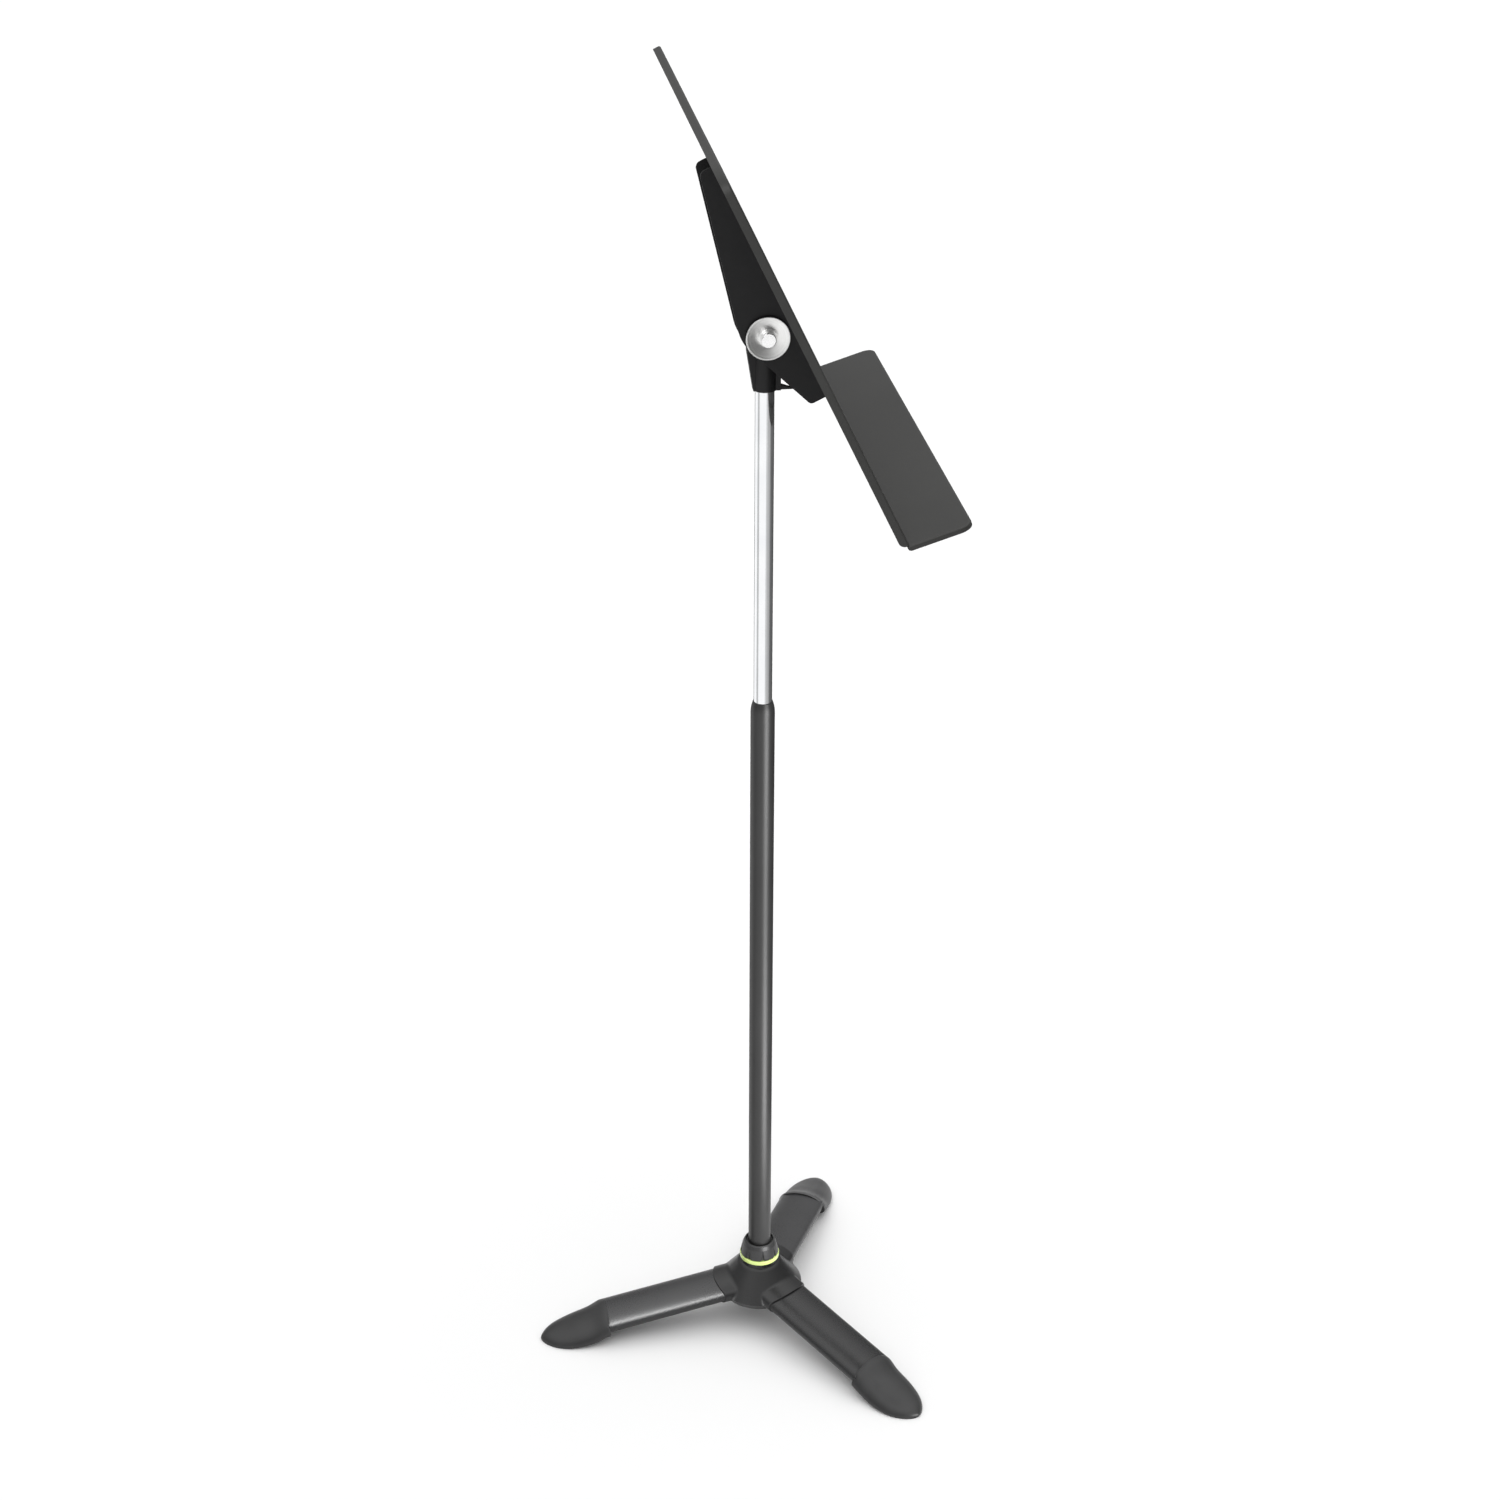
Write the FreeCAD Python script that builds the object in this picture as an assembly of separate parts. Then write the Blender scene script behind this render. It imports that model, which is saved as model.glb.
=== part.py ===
import FreeCAD, Part
import math
import os

# Orchestral music stand: tripod base, telescopic column and a tilting sheet-metal desk.
# Millimetres. +Z is up, the floor is Z = 0 and the column stands on the Z axis.
# The reader stands on the -Y side, so the desk faces -Y and its width runs along X.

os.makedirs("parts", exist_ok=True)
V = FreeCAD.Vector
X_AXIS, Y_AXIS, Z_AXIS = V(1, 0, 0), V(0, 1, 0), V(0, 0, 1)
ORIGIN = V(0, 0, 0)

# ---------------------------------------------------------------- driving sizes
# column
outer_tube_d = 25.0
outer_tube_wall = 1.5
inner_tube_d = 19.0
inner_tube_wall = 1.2
running_gap = 0.05            # radial gap of every sliding or turning fit
seat_gap = 0.05               # radial gap of parts seated in each other
outer_tube_bottom_z = 36.0
outer_tube_top_z = 776.0
swage_h = 16.0                # height of the rounded neck on top of the outer tube
inner_tube_bottom_z = 445.0
pivot_z = 1164.5              # tilt axis above the floor

# desk
desk_lean = 26.0              # degrees the desk leans back from upright
desk_w = 500.0
desk_h = 382.6
desk_below_pivot = 150.6      # from the tilt axis down to the tray, along the desk
face_to_pivot = 32.0          # from the tilt axis forward to the desk's reading face
sheet_t = 1.2
flange_d = 8.0                # depth of the turned-back rim
desk_corner_r = 26.5
rim_bend_r = 2.0
rim_end_r = 6.5               # rounded lower ends of the side rims
tray_depth = 59.8
tray_angle = 98.1             # between the desk and the tray
tray_lip = 5.0
tray_corner_r = 13.0
tray_leg_h = 24.0             # strip of the tray that is riveted behind the desk

# tripod
base_turn = 5.2               # degrees the base is turned under the desk
leg_angles = [90 + base_turn, 210 + base_turn, 330 + base_turn]
leg_names = ["back", "front_left", "front_right"]
leg_half_w = 26.6
leg_half_h = 11.2
leg_side_r = 6.4
leg_wall = 1.8
leg_slope = 8.79              # degrees below horizontal
leg_axis_z = 47.7            # height at which the legs' centre lines meet the column axis
leg_inner_end = 31.0
leg_outer_end = 183.0
foot_mouth_reach = 178.3      # column axis to the open end of a foot
foot_reach = 253.5            # column axis to the tip of a foot

# hub and collar
hub_bottom_z = 31.0
hub_top_z = 72.0
cone_top_r = 22.3
skirt_r = 42.0                # hub's lower edge
skirt_wide_r = 48.0           # hub at the top of its skirt
skirt_wide_z = 40.0
socket_reach = 53.0
socket_wall = 1.6
socket_rise = 0.6             # the sockets are thicker above the legs than below
shoulder_r = 21.2             # hub's shoulder under the ring
ring_bottom_z = 76.5
ring_r = 22.2
ring_h = 4.7
neck_r = 17.5
neck_top_z = 89.5
collet_bore_r = 14.2
collet_seat_z = 70.0
collet_top_z = 96.8
collar_top_z = 98.8
collar_climb = 4.0            # how far the collar nut rises when fully slackened

# tilt head
head_bottom = 57.0            # below the tilt axis
head_sleeve_r = 11.0
lug_r = 19.0
lug_half_w = 14.6
head_web_half_t = 5.0
tube_in_head = 22.0           # top of the inner tube below the tilt axis

# tilt bracket
bracket_half_w = 17.5
bracket_t = 2.0
pivot_bolt_d = 8.0
bush_r = 6.0
cup_r = 21.3
cup_floor_t = 1.5
cup_depth = 4.0

# fasteners
rivet_r = 2.5
rivet_head_r = 4.6
rivet_sink = 1.0
rivet_gap = 0.12              # round a rivet in its hole
rivet_tail_h = 1.4

outer_r = outer_tube_d / 2
outer_bore_r = outer_r - outer_tube_wall
inner_r = inner_tube_d / 2
inner_bore_r = inner_r - inner_tube_wall
ring_top_z = ring_bottom_z + ring_h
desk_back = face_to_pivot - sheet_t      # forward distance of the panel's rear face
web_front = desk_back - seat_gap
web_back = web_front - bracket_t


# ---------------------------------------------------------------- helpers
def save(name, shape):
    shape.exportStep("parts/" + name + ".step")


def rod(radius, z0, z1, at=(0, 0)):
    return Part.makeCylinder(radius, z1 - z0, V(at[0], at[1], z0))


def ring(outer, bore, z0, z1, at=(0, 0)):
    return rod(outer, z0, z1, at).cut(rod(bore, z0 - 1, z1 + 1, at))


def cross_rod(radius, x0, x1, z=0.0):
    """Cylinder along X."""
    return Part.makeCylinder(radius, x1 - x0, V(x0, 0, z), X_AXIS)


def turned(points):
    """Solid of revolution about Z from (radius, height) points."""
    wire = Part.makePolygon([V(r, 0, z) for r, z in points + points[:1]])
    return Part.Face(wire).revolve(ORIGIN, Z_AXIS, 360)


def slab(points, x0, x1):
    """Flat plate across X from (y, z) outline points."""
    wire = Part.makePolygon([V(x0, y, z) for y, z in points + points[:1]])
    return Part.Face(wire).extrude(V(x1 - x0, 0, 0))


def hexagon(across_flats, length, start, direction):
    """Hexagonal bar that starts at a point and runs along a direction."""
    corner_r = across_flats / math.sqrt(3)
    corners = [V(corner_r * math.cos(math.radians(a)), corner_r * math.sin(math.radians(a)), 0)
               for a in range(0, 361, 60)]
    bar = Part.Face(Part.makePolygon(corners)).extrude(V(0, 0, length))
    bar.Placement = FreeCAD.Placement(start, FreeCAD.Rotation(Z_AXIS, direction))
    return bar


def rounded(shape, radius, wanted):
    """Fillet the edges whose middle point passes a test."""
    return shape.makeFillet(radius, [e for e in shape.Edges if wanted(middle(e))])


def middle(edge):
    return edge.valueAt((edge.FirstParameter + edge.LastParameter) / 2)


def turned_about_z(shape, angle):
    copy = shape.copy()
    copy.rotate(ORIGIN, Z_AXIS, angle)
    return copy


def around(shape, count, start=0.0):
    """Copies of a shape spread evenly round the column."""
    return [turned_about_z(shape, start + i * 360.0 / count) for i in range(count)]


def at_pivot(shape):
    """Place a tilt-head shape, drawn about the tilt axis, at its height."""
    copy = shape.copy()
    copy.translate(V(0, 0, pivot_z))
    return copy


def on_desk(shape):
    """Place a desk shape, drawn upright about the tilt axis, at its lean and height."""
    copy = shape.copy()
    copy.rotate(ORIGIN, X_AXIS, -desk_lean)
    return at_pivot(copy)


def sloped(shape):
    """Tip a leg shape, drawn along +X from the column axis, down to the legs' slope."""
    copy = shape.copy()
    copy.rotate(ORIGIN, Y_AXIS, leg_slope)
    copy.translate(V(0, 0, leg_axis_z))
    return copy


def on_leg(shape, angle):
    return turned_about_z(sloped(shape), angle)


# ---------------------------------------------------------------- legs and feet
def oval_wire(x, grow=0.0):
    """Closed oval of four tangent arcs in the plane X = x: domed top and bottom, tight sides."""
    half_w = leg_half_w + grow
    half_h = leg_half_h + grow
    side_r = leg_side_r + grow
    side_y = half_w - side_r
    dome_r = (side_y ** 2 + half_h ** 2 - side_r ** 2) / (2 * (half_h - side_r))
    dome_z = half_h - dome_r
    reach = dome_r / (dome_r - side_r)
    touch_y = side_y * reach
    touch_z = dome_z - dome_z * reach
    corners = [V(x, touch_y, touch_z), V(x, -touch_y, touch_z),
               V(x, -touch_y, -touch_z), V(x, touch_y, -touch_z)]
    crests = [V(x, 0, half_h), V(x, -half_w, 0), V(x, 0, -half_h), V(x, half_w, 0)]
    arcs = [Part.Arc(corners[i], crests[i], corners[(i + 1) % 4]).toShape() for i in range(4)]
    return Part.Wire(arcs)


def oval_bar(x0, x1, grow=0.0):
    return Part.Face(oval_wire(x0, grow)).extrude(V(x1 - x0, 0, 0))


leg_screw_s = 42.0
leg_screw_r = 2.5
leg_screw_head_r = 4.2
leg_screw_head_h = 2.6
leg_screw_seat = leg_half_h + socket_wall - socket_rise + seat_gap   # below the leg's axis


def make_leg():
    leg = oval_bar(leg_inner_end, leg_outer_end).cut(
        oval_bar(leg_inner_end - 1, leg_outer_end + 1, -leg_wall))
    return leg.cut(Part.makeCylinder(leg_screw_r + seat_gap, leg_half_h + 1,
                                     V(leg_screw_s, 0, -leg_half_h - 1)))


def make_leg_screw():
    """Pan-head screw that comes up through the hub into the leg's lower wall."""
    head_top = -leg_screw_seat
    head_bottom = head_top - leg_screw_head_h
    shank = Part.makeCylinder(leg_screw_r, 7.0, V(leg_screw_s, 0, head_top))
    head = Part.makeCylinder(leg_screw_head_r, leg_screw_head_h, V(leg_screw_s, 0, head_bottom))
    head = rounded(head, 1.0, lambda p: p.z < head_bottom + 0.1)
    slot = Part.makeBox(1.2, 12, 1.2, V(leg_screw_s - 0.6, -6, head_bottom - 0.1))
    return head.fuse(shank).removeSplitter().cut(slot)


foot_shares = (0.0, 0.18, 0.40, 0.61, 0.79, 0.90, 0.965)   # where its sections lie along a foot
foot_half_w = 28.8
foot_mouth_top = 33.2
foot_mouth_bottom = 7.0
foot_belly_drop = 10.0        # how far the underside dips before the tread is cut flat
foot_tip_z = 2.4
foot_spigot_l = 26.0
foot_spigot_gap = 0.25


def foot_section(share):
    """Closed smooth section of a foot, at a share of the way from its mouth to its tip."""
    length = foot_reach - foot_mouth_reach
    half_w = foot_half_w * (1 - share ** 3.6) ** 0.66
    top = foot_mouth_top - 0.46 * length * share + 10 * share ** 2
    bottom = foot_mouth_bottom - foot_belly_drop * math.sin(math.pi / 2 * min(1, share / 0.62))
    widest = bottom + 0.29 * (top - bottom)
    closing = (1 - share ** 12) ** 0.5
    points = []
    for i in range(20):
        a = 2 * math.pi * i / 20
        if i <= 10:
            points.append(V(half_w * math.cos(a), (top - widest) * closing * math.sin(a), 0))
        else:
            across = math.copysign(abs(math.cos(a)) ** 0.87, math.cos(a))
            down = abs(math.sin(a)) ** 0.87
            points.append(V(half_w * across, (bottom - widest) * closing * down, 0))
    curve = Part.BSplineCurve()
    curve.interpolate([V(foot_mouth_reach + length * share, q.x, widest + q.y) for q in points],
                      PeriodicFlag=True)
    return Part.Wire(curve.toShape())


def make_foot():
    """Solid rubber foot along +X with a flat tread; the leg's open end is seated in its mouth."""
    tip = Part.Vertex(V(foot_reach, 0, foot_tip_z))
    body = Part.makeLoft([foot_section(share) for share in foot_shares] + [tip], True)
    body = body.cut(Part.makeBox(200, 120, 40, V(120, -60, -40)))
    seat = oval_bar(leg_outer_end - 20, leg_outer_end + seat_gap, seat_gap)
    spigot = oval_bar(leg_outer_end - foot_spigot_l, leg_outer_end + 3, -leg_wall - foot_spigot_gap)
    body = body.cut(sloped(seat))
    return body.fuse(sloped(spigot)).removeSplitter()


# ---------------------------------------------------------------- hub and what it holds
cover_r = 27.0
cover_t = 2.0
cover_screw_pcd_r = 21.5
column_bolt_r = 4.0
hub_blend_r = 8.0


def make_hub():
    """Cast hub: a cone with three leg sockets, a threaded neck and a stepped bore."""
    cone = turned([(0, hub_bottom_z), (skirt_r, hub_bottom_z), (skirt_wide_r, skirt_wide_z),
                   (cone_top_r, hub_top_z), (0, hub_top_z)])
    socket = oval_bar(0, socket_reach + 10, socket_wall)
    socket.translate(V(0, 0, socket_rise))
    for angle in leg_angles:
        cone = cone.fuse(on_leg(socket, angle))
    cone = blend_sockets(cone.removeSplitter())
    cone = cone.common(rod(socket_reach, 0, pivot_z))
    shoulder = rod(shoulder_r, hub_top_z - 2, ring_bottom_z)
    body = cone.fuse([shoulder, rod(neck_r, hub_top_z - 2, neck_top_z)]).removeSplitter()
    body = body.cut(rod(collet_bore_r + seat_gap, collet_seat_z, neck_top_z + 1))
    body = body.cut(rod(outer_r + seat_gap, outer_tube_bottom_z, collet_seat_z + 1))
    body = body.cut(rod(column_bolt_r + 0.3, hub_bottom_z - 8, outer_tube_bottom_z + 1))
    body = body.cut(rod(cover_r + 0.3, hub_bottom_z - 8, hub_bottom_z + cover_t))
    pocket = oval_bar(leg_inner_end - 0.5, socket_reach + 10, seat_gap)
    screw_hole = Part.makeCylinder(leg_screw_r + seat_gap, 30, V(leg_screw_s, 0, -leg_half_h - 25))
    head_room = Part.makeCylinder(leg_screw_head_r + 0.25, 15,
                                  V(leg_screw_s, 0, seat_gap - leg_screw_seat - 15))
    for angle in leg_angles:
        for hollow in (pocket, screw_hole, head_room):
            body = body.cut(on_leg(hollow, angle))
    return body.cut(Part.makeCompound(cover_screw_shanks()))


def blend_sockets(shape):
    """Soften the creases where the sockets run into the cone and into each other."""
    def crease(edge):
        p = middle(edge)
        r = math.hypot(p.x, p.y)
        return p.z > skirt_wide_z + 0.5 and 20 < r < socket_reach - 6
    creases = [e for e in shape.Edges if crease(e)]
    return shape.makeFillet(hub_blend_r, creases)


def cover_screw_shanks():
    shank = rod(1.5, hub_bottom_z + cover_t - 2, hub_bottom_z + cover_t + 8, (cover_screw_pcd_r, 0))
    return around(shank, 3, base_turn + 30)


def make_cover():
    plate = rod(cover_r, hub_bottom_z, hub_bottom_z + cover_t - seat_gap)
    plate = rounded(plate, 0.6, lambda p: p.z < hub_bottom_z + 0.1)
    plate = plate.cut(rod(column_bolt_r + 0.3, hub_bottom_z - 1, hub_bottom_z + cover_t))
    hole = rod(1.5 + seat_gap, hub_bottom_z - 1, hub_bottom_z + cover_t, (cover_screw_pcd_r, 0))
    return plate.cut(Part.makeCompound(around(hole, 3, base_turn + 30)))


def make_cover_screws():
    head = rod(2.8, hub_bottom_z - 1.8 - seat_gap, hub_bottom_z - seat_gap, (cover_screw_pcd_r, 0))
    head = head.makeFillet(0.8, [e for e in head.Edges if middle(e).z < hub_bottom_z - 1.7])
    shank = rod(1.5 - seat_gap, hub_bottom_z - seat_gap, hub_bottom_z + 9, (cover_screw_pcd_r, 0))
    cross = Part.makeBox(3.4, 0.7, 0.9, V(cover_screw_pcd_r - 1.7, -0.35, hub_bottom_z - 1.9))
    screw = head.fuse(shank).removeSplitter().cut(cross)
    cross.rotate(V(cover_screw_pcd_r, 0, 0), Z_AXIS, 90)
    return Part.makeCompound(around(screw.cut(cross), 3, base_turn + 30))


def make_column_bolt():
    """Hex bolt under the hub that pulls the column down into its bore."""
    head_bottom = hub_bottom_z - 5.3 - seat_gap
    head = hexagon(13, 5.3, V(0, 0, head_bottom), Z_AXIS)
    shank = rod(column_bolt_r, hub_bottom_z - seat_gap - 0.5, outer_tube_bottom_z + 14)
    return head.fuse(shank).removeSplitter()


def make_tube_plug():
    """Threaded plug fixed in the foot of the outer tube; the column bolt screws into it."""
    plug = rod(outer_bore_r - seat_gap, outer_tube_bottom_z + 0.5, outer_tube_bottom_z + 20)
    return plug.cut(rod(column_bolt_r + seat_gap, outer_tube_bottom_z - 1, outer_tube_bottom_z + 15))


def make_outer_tube():
    """Powder-coated tube whose top is swaged in to a rounded neck."""
    neck_start = outer_tube_top_z - swage_h
    neck_top_r = inner_r + 0.7
    wire = Part.Wire([
        Part.makeLine(V(outer_bore_r, 0, outer_tube_bottom_z), V(outer_r, 0, outer_tube_bottom_z)),
        Part.makeLine(V(outer_r, 0, outer_tube_bottom_z), V(outer_r, 0, neck_start)),
        Part.Arc(V(outer_r, 0, neck_start), V(outer_r - 0.6, 0, neck_start + 0.6 * swage_h),
                 V(neck_top_r, 0, outer_tube_top_z)).toShape(),
        Part.makeLine(V(neck_top_r, 0, outer_tube_top_z), V(inner_r + 0.2, 0, outer_tube_top_z)),
        Part.makeLine(V(inner_r + 0.2, 0, outer_tube_top_z), V(inner_r + 0.2, 0, outer_tube_top_z - 2)),
        Part.makeLine(V(inner_r + 0.2, 0, outer_tube_top_z - 2), V(outer_bore_r, 0, neck_start)),
        Part.makeLine(V(outer_bore_r, 0, neck_start), V(outer_bore_r, 0, outer_tube_bottom_z)),
    ])
    return Part.Face(wire).revolve(ORIGIN, Z_AXIS, 360)


def make_guide_bush():
    """Nylon sleeve under the neck; the inner tube slides in it."""
    top = outer_tube_top_z - swage_h - 1
    bush = ring(outer_bore_r - seat_gap, inner_r + running_gap, top - 26, top)
    groove = ring(outer_bore_r + 1, outer_bore_r - 0.6, top - 15, top - 11)
    return bush.cut(groove)


def make_collar_ring():
    """Moulded ring round the foot of the neck, standing on the hub's shoulder."""
    band = ring(ring_r, neck_r + seat_gap, ring_bottom_z + seat_gap, ring_top_z)
    return rounded(band, 0.7, lambda p: math.hypot(p.x, p.y) > ring_r - 0.1)


def make_collet():
    """Split nylon sleeve between the neck and the outer tube, with a small flange inside the nut."""
    flange_r = collet_bore_r + 0.7
    flange_z = washer_seat_z + washer_t + collar_climb + 0.2
    sleeve = turned([(outer_r + seat_gap, collet_seat_z + 0.2), (collet_bore_r, collet_seat_z + 0.2),
                     (collet_bore_r, flange_z), (flange_r, flange_z), (flange_r, collet_top_z - 0.5),
                     (flange_r - 0.5, collet_top_z), (outer_r + seat_gap, collet_top_z)])
    split = Part.makeBox(1.4, 20, 60, V(-0.7, 5, collet_seat_z - 5))
    return sleeve.cut(turned_about_z(split, -60))


# ---------------------------------------------------------------- collar nut
nut_bore_r = neck_r + 0.1
nut_mouth_r = 15.3
nut_foot_z = ring_top_z + 0.3
washer_seat_z = neck_top_z + 0.3
washer_t = 1.2
nut_profile = [(nut_mouth_r, collar_top_z), (16.0, collar_top_z), (17.2, 97.6), (18.9, 94.0),
               (20.2, 89.0), (21.2, 84.5), (21.5, 82.4), (20.9, nut_foot_z)]
flute_count = 8
flute_start = 2.7             # degrees
flute_r = 2.6


def make_collar_nut():
    """Bell-shaped nut on the hub's neck; its grip flutes taper out towards the top."""
    ceiling_z = washer_seat_z + washer_t + seat_gap
    inside = [(nut_bore_r, nut_foot_z), (nut_bore_r, ceiling_z), (nut_mouth_r, ceiling_z)]
    nut = turned(nut_profile + inside)
    flute_foot = V(22.3, 0, ring_top_z - 1)
    flute_tip = V(18.9, 0, ring_top_z + 13.0)
    lean = flute_tip - flute_foot
    flute = Part.makeCone(flute_r, 0.1, lean.Length, flute_foot, lean)
    return nut.cut(Part.makeCompound(around(flute, flute_count, flute_start)))


def make_collar_washer():
    return ring(neck_r - 0.1, collet_bore_r + 0.25, washer_seat_z, washer_seat_z + washer_t)


# ---------------------------------------------------------------- clutch and inner tube
clutch_z0 = 413.0
clutch_h = 26.0
clutch_core_r = 8.6
clutch_flange_r = 10.4
stem_r = 4.0


def make_clutch_body():
    """Nylon spool that carries the friction shoes inside the outer tube."""
    top = clutch_z0 + clutch_h
    spool = turned([(stem_r + seat_gap, clutch_z0), (clutch_flange_r, clutch_z0),
                    (clutch_flange_r, clutch_z0 + 3), (clutch_core_r, clutch_z0 + 3),
                    (clutch_core_r, top - 3), (clutch_flange_r, top - 3), (clutch_flange_r, top),
                    (stem_r + seat_gap, top)])
    for z in (clutch_z0 + 8, clutch_z0 + 18):
        spool = spool.cut(ring(clutch_core_r + 1, clutch_core_r - 1.0, z - 0.9, z + 0.9))
    return spool


def make_clutch_shoes():
    """Three curved shoes that drag on the tube wall and hold the height."""
    band = ring(outer_bore_r - running_gap, clutch_core_r + 0.6, clutch_z0 + 3.2, clutch_z0 + clutch_h - 3.2)
    gap = Part.makeBox(20, 2.4, 60, V(0, -1.2, clutch_z0 - 10))
    return band.cut(Part.makeCompound(around(gap, 3)))


def make_clutch_rings():
    """Two rubber rings in the spool's grooves that press the shoes outward."""
    rings = []
    for z in (clutch_z0 + 8, clutch_z0 + 18):
        rings.append(Part.makeTorus(clutch_core_r - 0.25, 0.65, V(0, 0, z)))
    return Part.makeCompound(rings)


def make_clutch_stem():
    """Shoulder screw up through the spool; the inner tube turns on its plain shank."""
    head_z = clutch_z0 - seat_gap
    stem = rod(stem_r, head_z, inner_tube_bottom_z + 31).fuse(rod(6.5, head_z - 4, head_z)).removeSplitter()
    stem = stem.cut(hexagon(5, 3, V(0, 0, head_z - 4), Z_AXIS))
    clip_z = inner_tube_bottom_z + 26
    return stem.cut(ring(stem_r + 1, stem_r - 0.6, clip_z, clip_z + 1.1))


def make_stem_clip():
    """Open retaining ring in the stem's groove."""
    clip_z = inner_tube_bottom_z + 26
    clip = ring(6.8, stem_r - 0.55, clip_z + 0.05, clip_z + 1.05)
    return clip.cut(Part.makeBox(10, 4, 3, V(0, -2, clip_z - 1)))


def make_swivel_plug():
    """Bronze plug pressed into the foot of the inner tube."""
    foot = rod(inner_r - 0.3, inner_tube_bottom_z - 5.8, inner_tube_bottom_z - seat_gap)
    body = rod(inner_bore_r - seat_gap, inner_tube_bottom_z - 1, inner_tube_bottom_z + 25.8)
    plug = foot.fuse(body).removeSplitter()
    return plug.cut(rod(stem_r + running_gap, inner_tube_bottom_z - 10, inner_tube_bottom_z + 30))


head_pin_r = 2.0
head_pin_z = -44.0


def make_inner_tube():
    tube = ring(inner_r, inner_bore_r, inner_tube_bottom_z, pivot_z - tube_in_head)
    return tube.cut(at_pivot(head_pin_hole()))


def head_pin_hole():
    return Part.makeCylinder(head_pin_r + 0.02, 60, V(0, -30, head_pin_z), Y_AXIS)


# ---------------------------------------------------------------- tilt head
def make_tilt_head():
    """Cast head: sleeve on the inner tube, cross barrel for the pivot and a central web."""
    barrel = cross_rod(lug_r, -lug_half_w, lug_half_w)
    sleeve = rod(head_sleeve_r, -head_bottom, -8)
    web = slab([(11.5, -head_bottom), (17.6, -19), (18.6, -4), (0, 8), (-18.6, -4), (-15, -24),
                (-15, -head_bottom)], -head_web_half_t, head_web_half_t)
    toe = slab([(-14, -head_bottom), (-27, -head_bottom), (-26.2, -head_bottom + 1.1),
                (-14, -head_bottom + 5.2)], -2.5, 2.5)
    head = barrel.fuse([sleeve, web, toe]).removeSplitter()
    head = head.cut(rod(inner_r + 0.02, -head_bottom - 1, -tube_in_head + 0.2))
    head = head.cut(cross_rod(bush_r, -lug_half_w - 1, lug_half_w + 1))
    return at_pivot(head.cut(head_pin_hole()))


def make_head_pin():
    """Rolled spring pin through the sleeve and the inner tube, along Y."""
    pin = Part.makeCylinder(head_pin_r, 26, V(0, -14, head_pin_z), Y_AXIS)
    pin = pin.cut(Part.makeCylinder(head_pin_r - 0.6, 30, V(0, -16, head_pin_z), Y_AXIS))
    slit = Part.makeBox(0.6, 30, 4, V(-0.3, -16, head_pin_z))
    return at_pivot(pin.cut(slit))


def make_pivot_bush():
    bush = cross_rod(bush_r - 0.02, -lug_half_w, lug_half_w)
    return at_pivot(bush.cut(cross_rod(pivot_bolt_d / 2 + running_gap, -lug_half_w - 1, lug_half_w + 1)))


# ---------------------------------------------------------------- desk (drawn upright, then leaned)
desk_bottom = 0.6 - desk_below_pivot          # just clear of the tray
desk_top = desk_h - desk_below_pivot
rivet_cols = (-8.5, 8.5)
bracket_rivet_v = (-60.0, 56.0, 150.0)
tray_rivet_v = 14.0 - desk_below_pivot
tray_rivet_x = (-200.0, -100.0, 0.0, 100.0, 200.0)
bracket_points = [(x, v) for v in bracket_rivet_v for x in rivet_cols]
tray_points = [(x, tray_rivet_v) for x in tray_rivet_x]


def desk_outline(inset, depth_start, depth, bottom):
    """Desk blank with rounded top corners, inset from the rim, as a slab behind the reading face."""
    half_w = desk_w / 2 - inset
    top = desk_top - inset
    corner = desk_corner_r - inset
    y0 = -face_to_pivot + depth_start
    diag = corner * (1 - math.sqrt(0.5))
    wire = Part.Wire([
        Part.makeLine(V(-half_w, y0, bottom), V(-half_w, y0, top - corner)),
        Part.Arc(V(-half_w, y0, top - corner), V(-half_w + diag, y0, top - diag),
                 V(-half_w + corner, y0, top)).toShape(),
        Part.makeLine(V(-half_w + corner, y0, top), V(half_w - corner, y0, top)),
        Part.Arc(V(half_w - corner, y0, top), V(half_w - diag, y0, top - diag),
                 V(half_w, y0, top - corner)).toShape(),
        Part.makeLine(V(half_w, y0, top - corner), V(half_w, y0, bottom)),
        Part.makeLine(V(half_w, y0, bottom), V(-half_w, y0, bottom)),
    ])
    return Part.Face(wire).extrude(V(0, depth, 0))


def make_desk_panel():
    """Pressed panel: flat face with a rim turned back along both sides and the top."""
    face_y = -face_to_pivot
    blank = desk_outline(0, 0, flange_d, desk_bottom)
    blank = rounded(blank, rim_bend_r, lambda p: abs(p.y - face_y) < 0.01 and p.z > desk_bottom + 1)
    hollow = desk_outline(sheet_t, sheet_t, flange_d, desk_bottom - 5)
    hollow = rounded(hollow, rim_bend_r - sheet_t + 0.2,
                     lambda p: abs(p.y - face_y - sheet_t) < 0.01 and p.z > desk_bottom)
    panel = blank.cut(hollow)
    panel = panel.makeFillet(rim_end_r, [e for e in panel.Edges if is_rim_end(e)])
    holes = [rivet_hole(x, v) for x, v in bracket_points + tray_points]
    return on_desk(panel.cut(Part.makeCompound(holes)))


def is_rim_end(edge):
    """Short edges at the lower back corners of the side rims."""
    p = middle(edge)
    return (abs(p.z - desk_bottom) < 0.01 and abs(p.y + face_to_pivot - flange_d) < 0.01
            and abs(abs(p.x) - desk_w / 2 + sheet_t / 2) < 0.1)


def rivet_hole(x, v):
    """Countersunk hole through the panel and the sheet behind it."""
    face = V(x, -face_to_pivot, v)
    sink = Part.makeCone(rivet_head_r + rivet_gap, rivet_r + rivet_gap, rivet_sink, face, Y_AXIS)
    return sink.fuse(Part.makeCylinder(rivet_r + rivet_gap, sheet_t + 2.5, face, Y_AXIS))


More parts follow.
